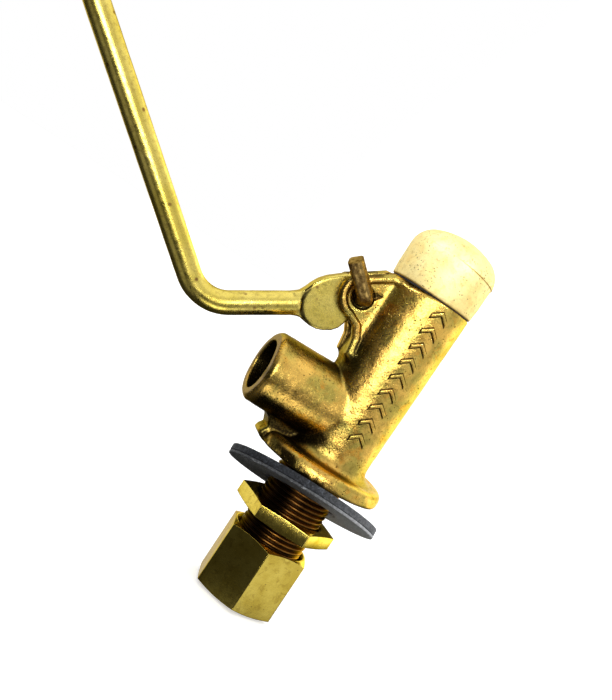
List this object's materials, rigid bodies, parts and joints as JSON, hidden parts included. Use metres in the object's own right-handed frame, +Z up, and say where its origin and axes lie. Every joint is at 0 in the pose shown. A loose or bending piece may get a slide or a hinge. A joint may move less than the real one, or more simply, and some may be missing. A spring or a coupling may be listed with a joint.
{
  "type": "float valve",
  "caption": "Brass float valve with a threaded bottom inlet, a side outlet and a bent float rod that closes a rubber-faced plunger.",
  "frame": {"origin": "on the axis of the inlet shank, at the underside of the mounting flange", "axes": "+Z runs up the body from the flange to the cap, -X points out of the side outlet and towards the float rod, and Y lies along the lever's pivot pin"},
  "size_m": [0.1345, 0.0332, 0.1115],
  "materials": {
    "cast_brass": "tumbled casting, tarnished",
    "cast_brass_cap": "turned and dulled",
    "machined_brass": "machined, bright",
    "rod_brass": "drawn, lightly spotted",
    "pin_brass": "drawn, tarnished",
    "black_rubber": "matt",
    "grey_rubber": "matt, rough edge",
    "grey_fibre": "matt",
    "red_fibre": "matt"
  },
  "bodies": {
    "root": {"valve_body": "cast_brass", "seat_nozzle": "machined_brass", "nozzle_gasket": "red_fibre", "split_pin": "pin_brass"},
    "lever": {"float_rod": "rod_brass"},
    "plunger": {"plunger": "machined_brass", "seat_disc": "black_rubber"},
    "washers": {"rubber_washer": "grey_rubber", "friction_washer": "grey_fibre"},
    "lock_nut": {"lock_nut": "machined_brass"},
    "ferrule": {"ferrule": "machined_brass"},
    "compression_nut": {"compression_nut": "machined_brass"},
    "cap_gasket": {"cap_gasket": "black_rubber"},
    "cap": {"cap": "cast_brass_cap"}
  },
  "joints": [
    {"name": "lever_swing", "type": "hinge", "parent": "root", "child": "lever", "pos_m": [-0.0128, 0, 0.034], "axis": [0, 1, 0], "range_deg": [0, 22]},
    {"name": "plunger_lift", "type": "slide", "parent": "root", "child": "plunger", "axis": [0, 0, 1], "range_m": [-0.0049, 0]},
    {"name": "washer_drop", "type": "slide", "parent": "root", "child": "washers", "axis": [0, 0, 1], "range_m": [-0.0032, 0]},
    {"name": "lock_nut_turn", "type": "hinge", "parent": "washers", "child": "lock_nut", "pos_m": [0, 0, -0.0113], "axis": [0, 0, 1], "range_deg": [-1080, 0]},
    {"name": "ferrule_drop", "type": "slide", "parent": "root", "child": "ferrule", "axis": [0, 0, 1], "range_m": [-0.0043, 0]},
    {"name": "compression_nut_turn", "type": "hinge", "parent": "ferrule", "child": "compression_nut", "pos_m": [0, 0, -0.0238], "axis": [0, 0, 1], "range_deg": [-1440, 0]},
    {"name": "gasket_lift", "type": "slide", "parent": "root", "child": "cap_gasket", "axis": [0, 0, 1], "range_m": [0, 0.0057]},
    {"name": "cap_turn", "type": "hinge", "parent": "cap_gasket", "child": "cap", "pos_m": [0, 0, 0.048], "axis": [0, 0, 1], "range_deg": [0, 1440]}
  ],
  "couplings": [
    {"joint": "plunger_lift", "follows": "lever_swing", "m_per_rad": -0.012722},
    {"joint": "washer_drop", "follows": "lock_nut_turn", "m_per_rad": 0.00016839},
    {"joint": "ferrule_drop", "follows": "compression_nut_turn", "m_per_rad": 0.00016839},
    {"joint": "gasket_lift", "follows": "cap_turn", "m_per_rad": 0.00022457}
  ]
}
